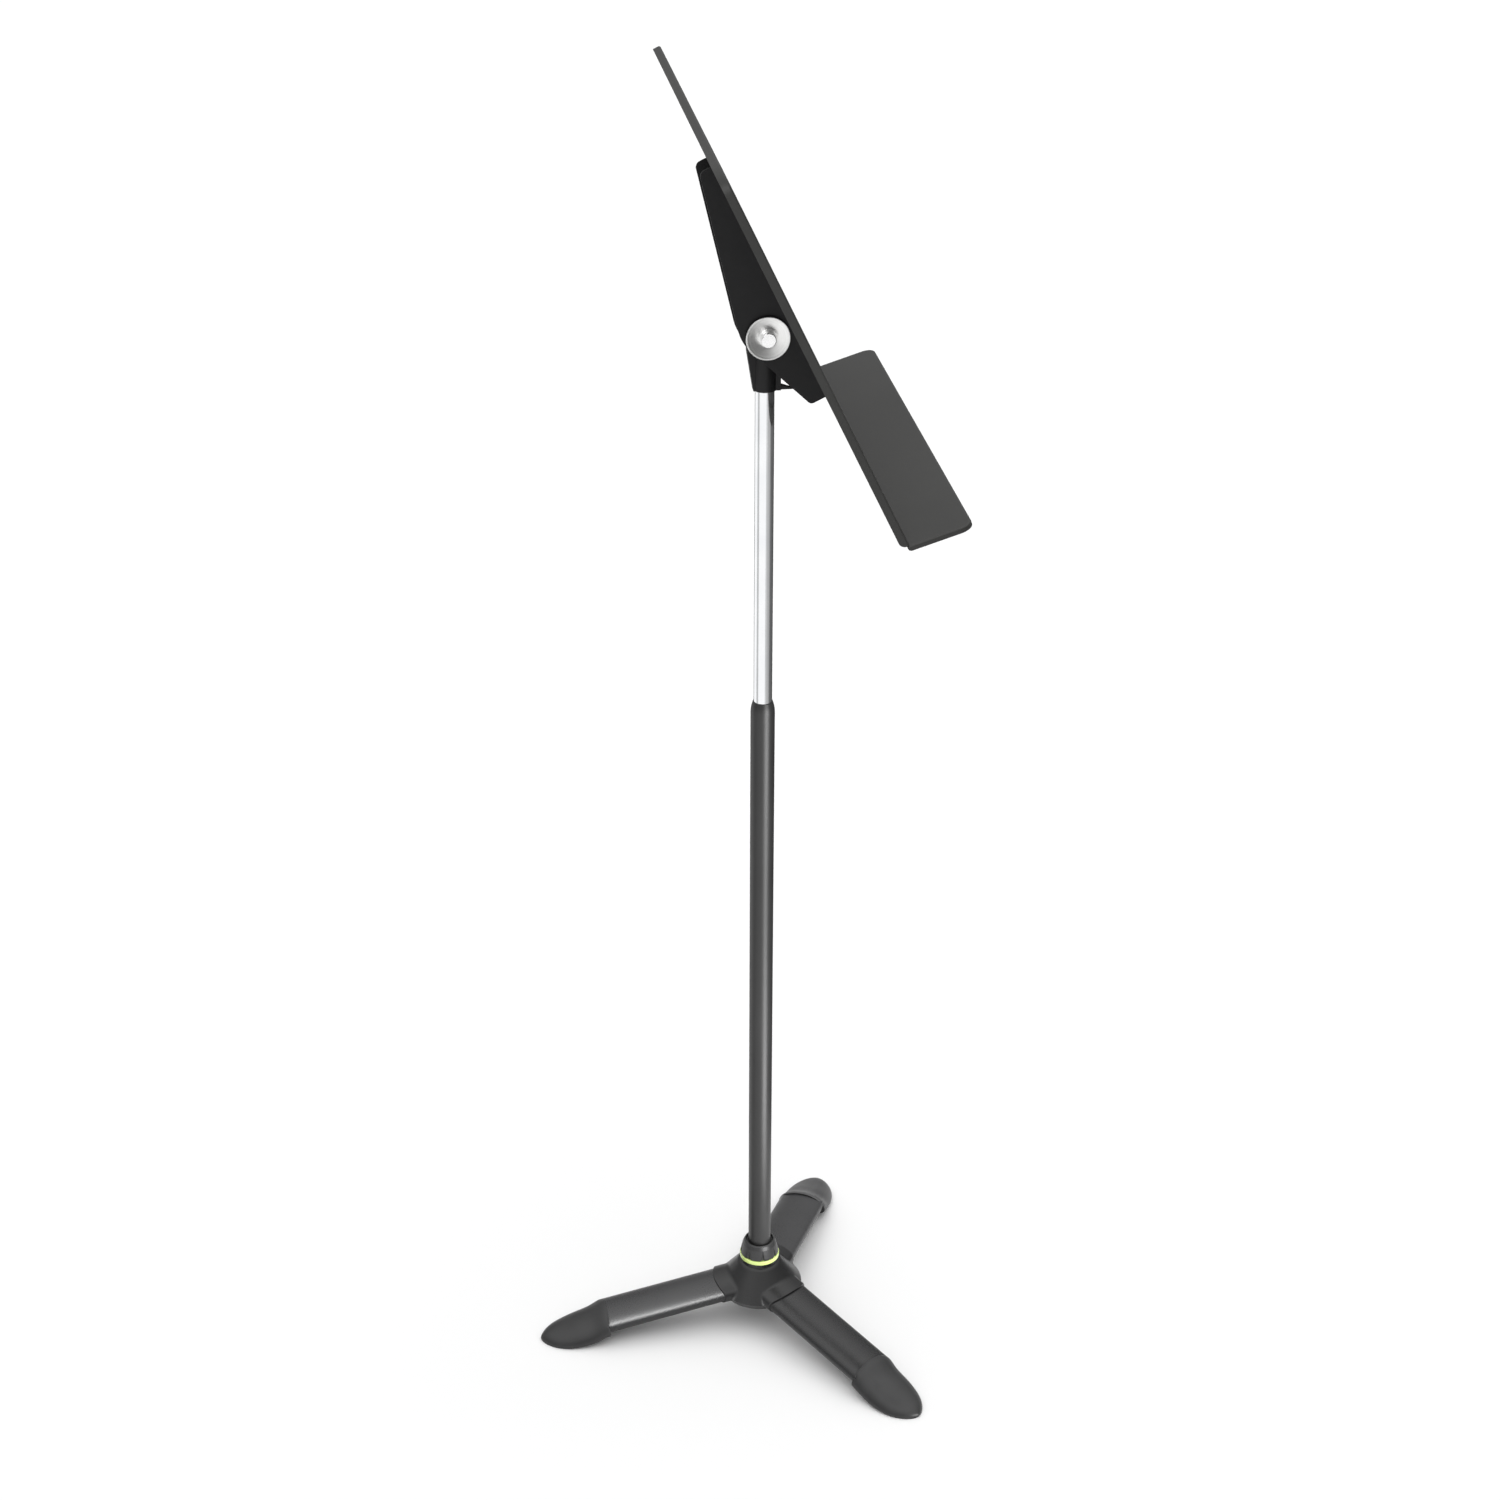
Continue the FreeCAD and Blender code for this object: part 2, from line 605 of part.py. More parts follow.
def make_rivets(points, backing_t):
    """Flush rivets with domed tails behind the backing sheet."""
    rivets = []
    for x, v in points:
        tail_y = -desk_back + seat_gap + backing_t + seat_gap
        tail = Part.makeCylinder(rivet_head_r, rivet_tail_h, V(x, tail_y, v), Y_AXIS)
        tail = tail.makeFillet(0.9, [e for e in tail.Edges if middle(e).y > tail_y + rivet_tail_h - 0.01])
        face = V(x, -face_to_pivot + 0.03, v)
        head = Part.makeCone(rivet_head_r, rivet_r, rivet_sink, face, Y_AXIS)
        shank = Part.makeCylinder(rivet_r, tail_y + face_to_pivot, face, Y_AXIS)
        rivets.append(head.fuse([shank, tail]).removeSplitter())
    return on_desk(Part.makeCompound(rivets))


def make_tray():
    """Ledge with turned-down lips, folded up behind the desk where it is riveted."""
    back = face_to_pivot - web_front + sheet_t
    ledge = tray_blank(0, 0, tray_lip, back)
    ledge = rounded(ledge, rim_bend_r, lambda p: p.z > -0.01 and p.y < back - 0.01)
    hollow = tray_blank(sheet_t, sheet_t, tray_lip, back + 5)
    ledge = ledge.cut(hollow)
    ledge = ledge.makeFillet(3.5, [e for e in ledge.Edges if is_lip_end(e, back)])
    ledge.rotate(ORIGIN, X_AXIS, tray_angle - 90)
    ledge.translate(V(0, -face_to_pivot, -desk_below_pivot))
    leg_bottom = -desk_below_pivot - 0.6
    upright = Part.makeBox(desk_w - 40, sheet_t, tray_leg_h, V(-desk_w / 2 + 20, -web_front, leg_bottom))
    upright = upright.makeFillet(6, [e for e in upright.Edges if is_short_top_edge(e, leg_bottom)])
    holes = [rivet_hole(x, v) for x, v in tray_points]
    return on_desk(ledge.fuse(upright).removeSplitter().cut(Part.makeCompound(holes)))


def is_lip_end(edge, back):
    """Short edges at the lower back corners of the tray's end lips."""
    p = middle(edge)
    return abs(p.z + tray_lip) < 0.01 and abs(p.y - back) < 0.01 and abs(p.x) > desk_w / 2 - sheet_t


def is_short_top_edge(edge, bottom):
    return abs(edge.Length - sheet_t) < 0.01 and middle(edge).z > bottom + 1


def tray_blank(inset, drop, depth, back):
    """Ledge outline with rounded front corners, hanging down from the tray's top face."""
    half_w = desk_w / 2 - inset
    front = -tray_depth + inset
    corner = tray_corner_r - inset
    diag = corner * (1 - math.sqrt(0.5))
    z = -drop
    wire = Part.Wire([
        Part.makeLine(V(-half_w, back, z), V(-half_w, front + corner, z)),
        Part.Arc(V(-half_w, front + corner, z), V(-half_w + diag, front + diag, z),
                 V(-half_w + corner, front, z)).toShape(),
        Part.makeLine(V(-half_w + corner, front, z), V(half_w - corner, front, z)),
        Part.Arc(V(half_w - corner, front, z), V(half_w - diag, front + diag, z),
                 V(half_w, front + corner, z)).toShape(),
        Part.makeLine(V(half_w, front + corner, z), V(half_w, back, z)),
        Part.makeLine(V(half_w, back, z), V(-half_w, back, z)),
    ])
    return Part.Face(wire).extrude(V(0, 0, -depth))


# ---------------------------------------------------------------- tilt bracket and pivot hardware
# cheek outline: (distance up the desk from the tilt axis, distance behind the reading face)
cheek_low = -79.6
cheek_high = 170.6
cheek_apex = (6.9, 56.6)
cheek_low_back = (cheek_low, 24.0)
cheek_high_back = (cheek_high, 20.2)


def make_tilt_bracket():
    """Folded channel riveted behind the desk; its two cheeks straddle the head."""
    front_y = -web_front
    outline = [(front_y, cheek_low), (cheek_low_back[1] - face_to_pivot, cheek_low),
               (cheek_apex[1] - face_to_pivot, cheek_apex[0]),
               (cheek_high_back[1] - face_to_pivot, cheek_high), (front_y, cheek_high)]
    block = slab(outline, -bracket_half_w, bracket_half_w)
    block = block.makeFillet(40.0, long_edges_near(block, outline[2]))
    block = block.makeFillet(5.0, long_edges_near(block, outline[1]))
    block = block.makeFillet(6.5, long_edges_near(block, outline[3]))
    block = block.makeFillet(9.0, long_edges_near(block, outline[4]))
    block = block.makeFillet(3.0, long_edges_near(block, outline[0]))
    inside = Part.makeBox(2 * (bracket_half_w - bracket_t), 200, 400,
                          V(bracket_t - bracket_half_w, front_y + bracket_t, cheek_low - 20))
    channel = block.cut(inside)
    channel = channel.cut(cross_rod(pivot_bolt_d / 2 + 0.1, -30, 30))
    return on_desk(channel.cut(Part.makeCompound([rivet_hole(x, v) for x, v in bracket_points])))


def long_edges_near(shape, point):
    """Edges along X that pass through a (y, z) point."""
    def passes(p):
        return abs(p.x) < 0.01 and abs(p.y - point[0]) < 0.6 and abs(p.z - point[1]) < 0.6
    return [e for e in shape.Edges if passes(middle(e))]


def make_cup_washer(side):
    """Pressed cup washer: flat floor on the cheek, flared rim facing outward."""
    floor = bracket_half_w + seat_gap
    shank_hole = pivot_bolt_d / 2 + 0.1
    floor_r = 9.0
    wall = turned([(shank_hole, floor), (floor_r, floor), (cup_r - 0.9, floor + cup_depth - 1.3),
                   (cup_r, floor + cup_depth - 0.7), (cup_r - 0.4, floor + cup_depth),
                   (cup_r - 1.6, floor + cup_depth - 0.1), (floor_r, floor + cup_floor_t),
                   (shank_hole, floor + cup_floor_t)])
    wall.rotate(ORIGIN, Y_AXIS, 90 * side)
    return at_pivot(wall)


seat_x = bracket_half_w + cup_floor_t + 2 * seat_gap
bolt_head_r = 7.2
bolt_head_h = 8.0
spring_washer_t = 1.8
nut_h = 6.5


def make_tilt_bolt():
    """Plain-headed bolt through the cheeks and the head, entered from the -X side."""
    head = cross_rod(bolt_head_r, -seat_x - bolt_head_h, -seat_x)
    head = rounded(head, 0.8, lambda p: p.x < -seat_x - bolt_head_h + 0.1)
    shank = cross_rod(pivot_bolt_d / 2, -seat_x - 0.5, seat_x + spring_washer_t + nut_h + 2.5)
    return at_pivot(head.fuse(shank).removeSplitter())


def make_spring_washer():
    """Split spring washer under the nut."""
    start = seat_x + seat_gap
    washer = cross_rod(7.0, start, start + spring_washer_t - 2 * seat_gap)
    washer = washer.cut(cross_rod(pivot_bolt_d / 2 + 0.1, start - 1, start + 3))
    return at_pivot(washer.cut(Part.makeBox(4, 1.0, 10, V(start - 1, -0.5, 2))))


def make_tilt_nut():
    start = seat_x + spring_washer_t + seat_gap
    nut = hexagon(13, nut_h, V(start, 0, 0), X_AXIS)
    nut = nut.common(Part.makeCone(9.2, 6.9, nut_h + 1.5, V(start - 1, 0, 0), X_AXIS))
    return at_pivot(nut.cut(cross_rod(pivot_bolt_d / 2 + seat_gap, start - 1, start + nut_h + 1)))


def make_friction_discs():
    """Fibre discs between the head's barrel and each cheek."""
    inner_face = lug_half_w + running_gap
    outer_face = bracket_half_w - bracket_t - seat_gap
    discs = []
    for start in (inner_face, -outer_face):
        disc = cross_rod(lug_r - 1.0, start, start + outer_face - inner_face)
        discs.append(disc.cut(cross_rod(pivot_bolt_d / 2 + 0.1, start - 1, start + 3)))
    return at_pivot(Part.makeCompound(discs))


# ---------------------------------------------------------------- write every part
leg = make_leg()
foot = make_foot()
for name, angle in zip(leg_names, leg_angles):
    save("leg_" + name, on_leg(leg, angle))
    save("foot_" + name, turned_about_z(foot, angle))
save("leg_screws", Part.makeCompound([on_leg(make_leg_screw(), a) for a in leg_angles]))

save("base_hub", make_hub())
save("hub_cover", make_cover())
save("cover_screws", make_cover_screws())
save("column_bolt", make_column_bolt())
save("tube_plug", make_tube_plug())
save("outer_tube", make_outer_tube())
save("guide_bush", make_guide_bush())
save("collar_ring", make_collar_ring())
save("base_collet", make_collet())
save("collar_nut", make_collar_nut())
save("collar_washer", make_collar_washer())

save("clutch_body", make_clutch_body())
save("clutch_shoes", make_clutch_shoes())
save("clutch_rings", make_clutch_rings())
save("clutch_stem", make_clutch_stem())
save("stem_clip", make_stem_clip())

save("inner_tube", make_inner_tube())
save("swivel_plug", make_swivel_plug())
save("tilt_head", make_tilt_head())
save("head_pin", make_head_pin())
save("pivot_bush", make_pivot_bush())

save("desk_panel", make_desk_panel())
save("music_tray", make_tray())
save("bracket_rivets", make_rivets(bracket_points, bracket_t))
save("tray_rivets", make_rivets(tray_points, sheet_t))
save("tilt_bracket", make_tilt_bracket())
save("cup_washer_left", make_cup_washer(-1))
save("cup_washer_right", make_cup_washer(1))
save("tilt_bolt", make_tilt_bolt())
save("tilt_nut", make_tilt_nut())
save("spring_washer", make_spring_washer())
save("friction_discs", make_friction_discs())
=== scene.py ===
import math

import bpy
from mathutils import Matrix, Vector


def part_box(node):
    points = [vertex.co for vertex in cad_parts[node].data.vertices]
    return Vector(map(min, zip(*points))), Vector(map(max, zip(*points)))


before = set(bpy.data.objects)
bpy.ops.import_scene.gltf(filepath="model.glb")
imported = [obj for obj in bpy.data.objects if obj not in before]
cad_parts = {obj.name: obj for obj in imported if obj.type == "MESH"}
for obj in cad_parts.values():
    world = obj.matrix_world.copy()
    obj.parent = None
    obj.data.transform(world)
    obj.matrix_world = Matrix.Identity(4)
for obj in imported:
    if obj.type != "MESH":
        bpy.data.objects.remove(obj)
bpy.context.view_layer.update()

# Looks of a music stand: powder-coated steel, chrome, polished washers, rubber feet and a lime ring.
# Metres. +Z is up and the desk faces -Y.

LEFT_WASHER_LOW, LEFT_WASHER_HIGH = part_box("cup_washer_left")
PIVOT_Z = (LEFT_WASHER_LOW.z + LEFT_WASHER_HIGH.z) / 2
MM = 0.001
CAMERA_AZIMUTH = math.radians(-98.328)      # the camera's side of the stand, turned about +Z from -Y

# Socket numbers of a colour Mix node, whose sockets share their names with the other data types.
MIX_FIRST = 6
MIX_SECOND = 7
MIX_RESULT = 2

BEVEL_SAMPLES = 6
EDGE_STARTS = 0.98      # cosine between the rounded and the true normal where an edge begins to show
EDGE_FULL = 0.80        # and where it shows fully


# ---------------------------------------------------------------- material helpers
class Surface:
    """A node material that is put together step by step."""

    def __init__(self, name):
        self.material = bpy.data.materials.new(name)
        self.material.use_nodes = True
        self.tree = self.material.node_tree
        self.shader = self.tree.nodes["Principled BSDF"]
        self.place = self.node("ShaderNodeTexCoord").outputs["Object"]

    def node(self, kind, **settings):
        made = self.tree.nodes.new(kind)
        for key, value in settings.items():
            setattr(made, key, value)
        return made

    def join(self, source, target):
        self.tree.links.new(source, target)

    def scaled(self, factors):
        """The object's coordinates, stretched by a factor along each axis."""
        mapping = self.node("ShaderNodeMapping")
        mapping.inputs["Scale"].default_value = factors
        self.join(self.place, mapping.inputs["Vector"])
        return mapping.outputs["Vector"]

    def noise(self, scale, detail=3.0, place=None):
        made = self.node("ShaderNodeTexNoise")
        made.inputs["Scale"].default_value = scale
        made.inputs["Detail"].default_value = detail
        self.join(place or self.place, made.inputs["Vector"])
        return made.outputs["Fac"]

    def ramp(self, value, low, high, to_low, to_high):
        """Map a value's range onto another, clamped."""
        made = self.node("ShaderNodeMapRange")
        limits = {"From Min": low, "From Max": high, "To Min": to_low, "To Max": to_high}
        for socket, number in limits.items():
            made.inputs[socket].default_value = number
        self.join(value, made.inputs["Value"])
        return made.outputs["Result"]

    def mixed(self, share, first, second):
        """Blend of two colours; each is three numbers or another node's output."""
        made = self.node("ShaderNodeMix", data_type="RGBA")
        self.join(share, made.inputs["Factor"])
        for socket, colour in ((made.inputs[MIX_FIRST], first), (made.inputs[MIX_SECOND], second)):
            if isinstance(colour, tuple):
                socket.default_value = (*colour, 1.0)
            else:
                self.join(colour, socket)
        return made.outputs[MIX_RESULT]

    def math(self, operation, first, second):
        made = self.node("ShaderNodeMath", operation=operation)
        self.join(first, made.inputs[0])
        if isinstance(second, float):
            made.inputs[1].default_value = second
        else:
            self.join(second, made.inputs[1])
        return made.outputs[0]

    def edges(self, radius):
        """1 along convex and concave edges within a radius, 0 on open faces."""
        bevel = self.node("ShaderNodeBevel", samples=BEVEL_SAMPLES)
        bevel.inputs["Radius"].default_value = radius
        geometry = self.node("ShaderNodeNewGeometry")
        dot = self.node("ShaderNodeVectorMath", operation="DOT_PRODUCT")
        self.join(bevel.outputs["Normal"], dot.inputs[0])
        self.join(geometry.outputs["Normal"], dot.inputs[1])
        return self.ramp(dot.outputs["Value"], EDGE_STARTS, EDGE_FULL, 0.0, 1.0)

    def relief(self, height, strength, distance, edge_radius):
        """Bump on top of slightly rounded edges."""
        bevel = self.node("ShaderNodeBevel", samples=BEVEL_SAMPLES)
        bevel.inputs["Radius"].default_value = edge_radius
        bump = self.node("ShaderNodeBump")
        bump.inputs["Strength"].default_value = strength
        bump.inputs["Distance"].default_value = distance
        self.join(height, bump.inputs["Height"])
        self.join(bevel.outputs["Normal"], bump.inputs["Normal"])
        self.join(bump.outputs["Normal"], self.shader.inputs["Normal"])


def powder_coat(name, tone, rough, level=0.3, edge_radius=0.5 * MM):
    """Satin powder coat: fine orange peel, faint cloudy tone, and lighter edges that are partly wear and
    partly a painted edge highlight.
    """
    cloud_scale, speckle_scale, wear_and_highlight_scale = 9.0, 1500.0, 60.0
    wear_and_highlight_radius = 0.9 * MM
    s = Surface(name)
    cloud = s.noise(cloud_scale, 4.0)
    speckle = s.noise(speckle_scale, 2.0)
    light = tuple(c * 1.25 for c in tone)
    dark = tuple(c * 0.86 for c in tone)
    base = s.mixed(s.ramp(cloud, 0.3, 0.7, 0.0, 1.0), dark, light)
    # Edges painted lighter in patches: partly wear, partly a painted highlight along bends and rims.
    worn_and_highlit_tone = tuple(c * 2.4 + 0.02 for c in tone)
    patches = s.ramp(s.noise(wear_and_highlight_scale, 5.0), 0.42, 0.66, 0.15, 0.75)
    wear_and_edge_highlight = s.math("MULTIPLY", s.edges(wear_and_highlight_radius), patches)
    s.join(s.mixed(wear_and_edge_highlight, base, worn_and_highlit_tone), s.shader.inputs["Base Color"])
    roughness = s.ramp(s.math("ADD", cloud, speckle), 0.6, 1.4, rough - 0.05, rough + 0.07)
    s.join(roughness, s.shader.inputs["Roughness"])
    s.shader.inputs["Specular IOR Level"].default_value = level
    s.relief(speckle, 0.12, 0.25 * MM, edge_radius)
    return s.material


def chrome(name):
    """Bright plate with the faint lengthwise draw lines and smudges of a handled tube."""
    smudge_scale, line_scale = 30.0, 900.0
    drawn_out = (1.0, 1.0, 0.01)
    s = Surface(name)
    smudge = s.noise(smudge_scale, 5.0)
    lines = s.noise(line_scale, 2.0, s.scaled(drawn_out))
    tone = s.mixed(s.ramp(smudge, 0.35, 0.7, 0.0, 1.0), (0.86, 0.87, 0.89), (0.93, 0.94, 0.95))
    s.join(tone, s.shader.inputs["Base Color"])
    s.shader.inputs["Metallic"].default_value = 1.0
    s.join(s.ramp(smudge, 0.4, 0.75, 0.07, 0.16), s.shader.inputs["Roughness"])
    s.relief(lines, 0.03, 0.05 * MM, 0.3 * MM)
    return s.material


def turned_metal(name, tone, rough, spin_axis):
    """Metal with fine circular tool marks about an axis: 0 for X, 2 for Z."""
    mark_scale, cloud_scale = 2600.0, 40.0
    s = Surface(name)
    split = s.node("ShaderNodeSeparateXYZ")
    s.join(s.place, split.inputs["Vector"])
    centre = (0.0, 0.0, PIVOT_Z) if spin_axis == 0 else (0.0, 0.0, 0.0)
    squares = []
    for axis in range(3):
        if axis != spin_axis:
            offset = s.math("SUBTRACT", split.outputs[axis], centre[axis])
            squares.append(s.math("POWER", offset, 2.0))
    radius = s.math("SQRT", s.math("ADD", squares[0], squares[1]), 0.0)
    along = s.node("ShaderNodeCombineXYZ")
    s.join(radius, along.inputs[0])
    s.join(split.outputs[spin_axis], along.inputs[1])
    marks = s.noise(mark_scale, 2.0, along.outputs["Vector"])
    cloud = s.noise(cloud_scale, 3.0)
    light = tuple(min(1.0, c * 1.1) for c in tone)
    dark = tuple(c * 0.88 for c in tone)
    s.join(s.mixed(s.ramp(s.math("ADD", marks, cloud), 0.7, 1.3, 0.0, 1.0), dark, light),
           s.shader.inputs["Base Color"])
    s.shader.inputs["Metallic"].default_value = 1.0
    s.join(s.ramp(marks, 0.3, 0.7, rough - 0.05, rough + 0.08), s.shader.inputs["Roughness"])
    s.relief(marks, 0.10, 0.08 * MM, 0.3 * MM)
    return s.material


def moulded(name, tone, rough, grain=420.0, strength=0.15, coat=0.0):
    """Moulded plastic or rubber: fine grain, soft mottling and scuffed edges."""
    mottle_scale = 35.0
    scuff_radius = 0.8 * MM
    s = Surface(name)
    mottle = s.noise(mottle_scale, 4.0)
    texture = s.noise(grain, 4.0)
    light = tuple(min(1.0, c * 1.18 + 0.004) for c in tone)
    dark = tuple(c * 0.85 for c in tone)
    base = s.mixed(s.ramp(mottle, 0.3, 0.7, 0.0, 1.0), dark, light)
    scuffed = tuple(min(1.0, c * 1.7 + 0.03) for c in tone)
    scuff = s.math("MULTIPLY", s.edges(scuff_radius), s.ramp(texture, 0.4, 0.65, 0.1, 0.6))
    s.join(s.mixed(scuff, base, scuffed), s.shader.inputs["Base Color"])
    s.join(s.ramp(mottle, 0.3, 0.7, rough - 0.05, rough + 0.06), s.shader.inputs["Roughness"])
    s.shader.inputs["Coat Weight"].default_value = coat
    s.shader.inputs["Coat Roughness"].default_value = 0.12
    s.relief(texture, strength, 0.15 * MM, 0.4 * MM)
    return s.material


# ---------------------------------------------------------------- materials and where they go
desk_coat = powder_coat("desk powder coat", (0.030, 0.030, 0.0285), 0.36, 0.35)
bracket_coat = powder_coat("bracket powder coat", (0.011, 0.011, 0.0115), 0.42, 0.25)
column_coat = powder_coat("column powder coat", (0.015, 0.015, 0.015), 0.38, 0.5)
base_coat = powder_coat("base powder coat", (0.011, 0.011, 0.0115), 0.30, 0.5)
leg_coat = powder_coat("leg powder coat", (0.011, 0.011, 0.0115), 0.27, 0.55, 8.0 * MM)
nut_coat = powder_coat("collar nut coat", (0.026, 0.026, 0.0265), 0.34, 0.5)
tube_chrome = chrome("chrome plate")
washer_steel = turned_metal("spun stainless", (0.88, 0.88, 0.87), 0.32, 0)
bolt_steel = turned_metal("nickel plated bolt", (0.90, 0.90, 0.90), 0.16, 0)
zinc_steel = turned_metal("zinc plated steel", (0.60, 0.61, 0.62), 0.32, 2)
bronze = turned_metal("turned bronze", (0.70, 0.50, 0.24), 0.28, 2)
foot_rubber = moulded("foot rubber", (0.020, 0.020, 0.0205), 0.42, 600.0, 0.08)
small_rubber = moulded("ring rubber", (0.020, 0.020, 0.020), 0.55)
black_plastic = moulded("black moulding", (0.022, 0.022, 0.023), 0.45)
black_nylon = moulded("black nylon", (0.006, 0.006, 0.006), 0.60)
natural_nylon = moulded("natural nylon", (0.72, 0.70, 0.64), 0.42)
fibre = moulded("brown fibre", (0.26, 0.17, 0.10), 0.80, 260.0, 0.5)
lime = moulded("lime moulding", (0.62, 0.77, 0.25), 0.28, 300.0, 0.05, 0.6)

FINISHES = {
    "desk_panel": desk_coat, "music_tray": desk_coat, "tray_rivets": desk_coat, "bracket_rivets": desk_coat,
    "tilt_bracket": bracket_coat, "tilt_head": bracket_coat,
    "outer_tube": column_coat,
    "base_hub": base_coat,
    "leg_back": leg_coat, "leg_front_left": leg_coat, "leg_front_right": leg_coat,
    "collar_nut": nut_coat,
    "inner_tube": tube_chrome,
    "cup_washer_left": washer_steel, "cup_washer_right": washer_steel,
    "tilt_bolt": bolt_steel, "tilt_nut": bolt_steel, "spring_washer": bolt_steel,
    "leg_screws": zinc_steel, "cover_screws": zinc_steel, "column_bolt": zinc_steel,
    "clutch_stem": zinc_steel, "stem_clip": zinc_steel, "head_pin": zinc_steel, "tube_plug": zinc_steel,
    "collar_washer": zinc_steel,
    "clutch_shoes": bronze, "swivel_plug": bronze, "pivot_bush": bronze,
    "foot_back": foot_rubber, "foot_front_left": foot_rubber, "foot_front_right": foot_rubber,
    "clutch_rings": small_rubber,
    "hub_cover": black_plastic,
    "base_collet": black_nylon,
    "guide_bush": natural_nylon, "clutch_body": natural_nylon,
    "friction_discs": fibre,
    "collar_ring": lime,
}

for node_name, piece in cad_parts.items():
    piece.data.materials.clear()
    piece.data.materials.append(FINISHES[node_name])


# ---------------------------------------------------------------- floor
FLOOR_HALF = 14.0


def make_floor():
    """Wide pale studio floor."""
    mesh = bpy.data.meshes.new("floor")
    corners = [(-FLOOR_HALF, -FLOOR_HALF, 0), (FLOOR_HALF, -FLOOR_HALF, 0),
               (FLOOR_HALF, FLOOR_HALF, 0), (-FLOOR_HALF, FLOOR_HALF, 0)]
    mesh.from_pydata(corners, [], [(0, 1, 2, 3)])
    floor = bpy.data.objects.new("floor", mesh)
    bpy.context.scene.collection.objects.link(floor)
    s = Surface("studio floor")
    cloudy = s.ramp(s.noise(0.8, 2.0), 0.3, 0.7, 0.0, 1.0)
    s.join(s.mixed(cloudy, (0.96, 0.96, 0.96), (0.97, 0.97, 0.97)), s.shader.inputs["Base Color"])
    s.shader.inputs["Roughness"].default_value = 0.9
    s.shader.inputs["Specular IOR Level"].default_value = 0.1
    mesh.materials.append(s.material)


make_floor()


# ---------------------------------------------------------------- light
SKY_HORIZON = 0.25      # strength of the white sky level with the floor
SKY_ZENITH = 1.95       # and straight overhead

# The grey wedges just above the floor that paint dark reflections into the chrome and coat: how many strips
# each has, and where they start, end and lie.
SHADE_STEPS = 8
SHADE_NEAR = 0.33
SHADE_FAR = 9.0
SHADE_HEIGHT = 0.004
SHADE_CLOUD = 1.2


def round_column(angle, radius, height):
    """Point at an angle (degrees, towards the camera's right) and a radius round the column."""
    a = CAMERA_AZIMUTH + math.radians(angle)
    return Vector((math.sin(a) * radius, -math.cos(a) * radius, height))


def make_sky():
    """White sky that is grey at the horizon and brightest overhead."""
    world = bpy.data.worlds.new("studio")
    bpy.context.scene.world = world
    world.use_nodes = True
    tree = world.node_tree
    sky = tree.nodes["Background"]
    sky.inputs["Color"].default_value = (1.0, 1.0, 1.0, 1.0)
    direction = tree.nodes.new("ShaderNodeTexCoord")
    split = tree.nodes.new("ShaderNodeSeparateXYZ")
    tree.links.new(direction.outputs["Generated"], split.inputs["Vector"])
    squared = tree.nodes.new("ShaderNodeMath")
    squared.operation = "MULTIPLY"
    tree.links.new(split.outputs["Z"], squared.inputs[0])
    tree.links.new(split.outputs["Z"], squared.inputs[1])
    brightness = tree.nodes.new("ShaderNodeMapRange")
    brightness.inputs["To Min"].default_value = SKY_HORIZON
    brightness.inputs["To Max"].default_value = SKY_ZENITH
    tree.links.new(squared.outputs["Value"], brightness.inputs["Value"])
    tree.links.new(brightness.outputs["Result"], sky.inputs["Strength"])


def lit_group(names):
    """Collection of the pieces that a lamp lights, so that it leaves the rest and the floor alone."""
    group = bpy.data.collections.new("lit " + names[0])
    for name in names:
        group.objects.link(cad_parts[name])
    return group


def softbox(name, width, height, place, aim, power, lit_pieces):
    """Soft lamp that lights only the given pieces and that the camera doesn't see."""
    data = bpy.data.lights.new(name, "AREA")
    data.shape = "RECTANGLE"
    data.size = width
    data.size_y = height
    data.energy = power
    lamp = bpy.data.objects.new(name, data)
    bpy.context.scene.collection.objects.link(lamp)
    lamp.location = place
    lamp.rotation_euler = (Vector(aim) - Vector(place)).to_track_quat("-Z", "Y").to_euler()
    lamp.visible_camera = False
    lamp.light_linking.receiver_collection = lit_pieces


def painted_reflection_wedge(name, first_angle, last_angle, tone):
    """Grey wedge round the column that shows only in reflections: a painted dark reflection, not a floor or
    its shade.
    """
    points = []
    for i in range(SHADE_STEPS + 1):
        angle = first_angle + (last_angle - first_angle) * i / SHADE_STEPS
        points.append(round_column(angle, SHADE_NEAR, SHADE_HEIGHT))
        points.append(round_column(angle, SHADE_FAR, SHADE_HEIGHT))
    faces = [(2 * i, 2 * i + 1, 2 * i + 3, 2 * i + 2) for i in range(SHADE_STEPS)]
    mesh = bpy.data.meshes.new(name)
    mesh.from_pydata(points, [], faces)
    wedge = bpy.data.objects.new(name, mesh)
    bpy.context.scene.collection.objects.link(wedge)
    # Unseen by the camera and casting no shadow, so it only paints dark into reflections.
    wedge.visible_camera = False
    wedge.visible_diffuse = False
    wedge.visible_shadow = False
    s = Surface(name)
    cloudy = s.ramp(s.noise(1.5, 2.0), 0.3, 0.7, 0.0, 1.0)
    s.join(s.mixed(cloudy, (tone,) * 3, (tone * SHADE_CLOUD,) * 3), s.shader.inputs["Base Color"])
    s.shader.inputs["Roughness"].default_value = 1.0
    s.shader.inputs["Specular IOR Level"].default_value = 0.0
    mesh.materials.append(s.material)


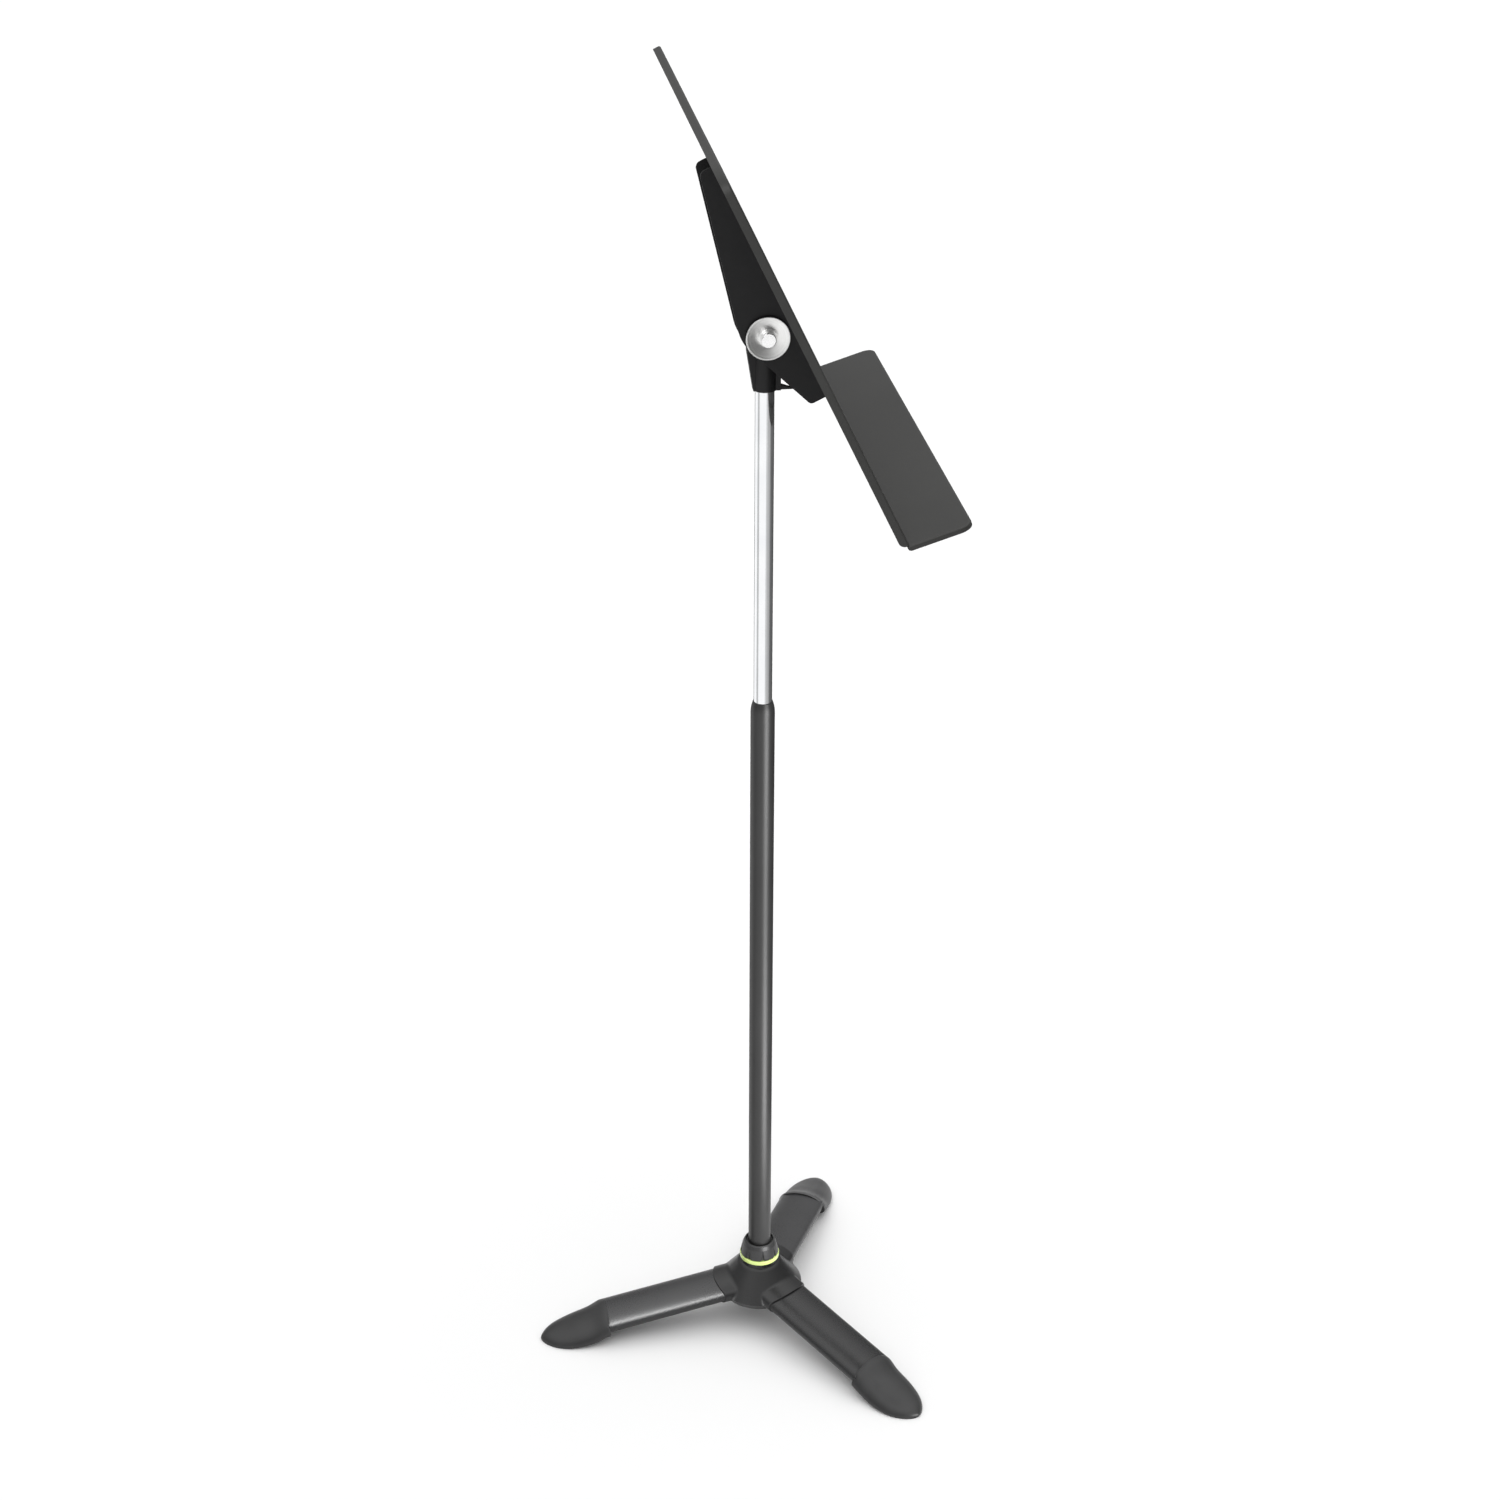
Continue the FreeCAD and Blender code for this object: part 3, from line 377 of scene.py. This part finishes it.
# Each lamp: name, width, height, place, the point it aims at, watts, and the pieces it lights.
LAMPS = [
    ("column strip", 0.50, 0.80, round_column(38, 0.9, 0.45), (0, 0, 0.45), 12.0,
     ["collar_nut", "collar_ring", "outer_tube"]),
    ("low column strip", 0.20, 0.24, round_column(42, 0.33, 0.13), (0, 0, 0.25), 1.3,
     ["outer_tube"]),
    ("over the left leg", 0.50, 0.34, (-0.28, 0.22, 0.72), (0.0, 0.12, 0.04), 9.5,
     ["leg_back"]),
    ("left low", 0.5, 0.30, round_column(-35, 0.8, 0.20), (0.0, 0.0, 0.06), 2.0,
     ["base_hub"]),
    ("right low", 0.4, 0.22, round_column(48, 0.8, 0.13), (0.0, -0.15, 0.03), 2.6,
     ["leg_front_left", "foot_front_left", "foot_back"]),
    ("over the far leg", 0.40, 0.40, (0.05, -0.50, 0.60), (0.12, -0.06, 0.04), 12.0,
     ["leg_front_right", "foot_front_right"]),
    ("pivot light", 0.5, 0.5, round_column(-10, 1.5, 1.75), (0, 0, PIVOT_Z), 4.0,
     ["tilt_bolt", "cup_washer_left", "cup_washer_right", "tilt_bracket", "tilt_head",
      "desk_panel", "music_tray"]),
]

# Each painted reflection wedge: its first and last angle round the column, and its grey tone.
PAINTED_REFLECTION_WEDGES = [
    (24, 42, 0.55), (42, 68, 0.40), (68, 84, 0.26), (84, 128, 0.11), (128, 165, 0.06),
    (-86, -60, 0.46), (-165, -134, 0.25),
]

make_sky()
for name, width, height, place, aim, power, lit_names in LAMPS:
    softbox(name, width, height, place, aim, power, lit_group(lit_names))
for number, (first_angle, last_angle, tone) in enumerate(PAINTED_REFLECTION_WEDGES):
    painted_reflection_wedge("painted reflection wedge %d" % number, first_angle, last_angle, tone)


# ---------------------------------------------------------------- camera
CAMERA_REACH = 2.3809
CAMERA_HEIGHT = 1.9347
CAMERA_YAW = math.radians(0.308)
CAMERA_PITCH = math.radians(27.038)
CAMERA_ROLL = math.radians(0.213)
SENSOR = 36.0
LENS = 62.56
CLIP_END = 100.0


def make_camera():
    """Camera behind the desk's left side, looking down on the stand."""
    heading = CAMERA_AZIMUTH + CAMERA_YAW
    level = Vector((-math.sin(heading), math.cos(heading), 0.0))
    forward = level * math.cos(CAMERA_PITCH) - Vector((0, 0, 1)) * math.sin(CAMERA_PITCH)
    right = forward.cross(Vector((0, 0, 1))).normalized()
    up = right.cross(forward)
    rolled_right = right * math.cos(CAMERA_ROLL) + up * math.sin(CAMERA_ROLL)
    rolled_up = up * math.cos(CAMERA_ROLL) - right * math.sin(CAMERA_ROLL)
    data = bpy.data.cameras.new("camera")
    data.sensor_width = SENSOR
    data.lens = LENS
    data.clip_end = CLIP_END
    camera = bpy.data.objects.new("camera", data)
    bpy.context.scene.collection.objects.link(camera)
    turn = Matrix((rolled_right, rolled_up, -forward)).transposed().to_4x4()
    place = Vector((math.sin(CAMERA_AZIMUTH) * CAMERA_REACH, -math.cos(CAMERA_AZIMUTH) * CAMERA_REACH,
                    CAMERA_HEIGHT))
    camera.matrix_world = Matrix.Translation(place) @ turn
    bpy.context.scene.camera = camera


make_camera()
bpy.context.scene.view_settings.view_transform = "Standard"
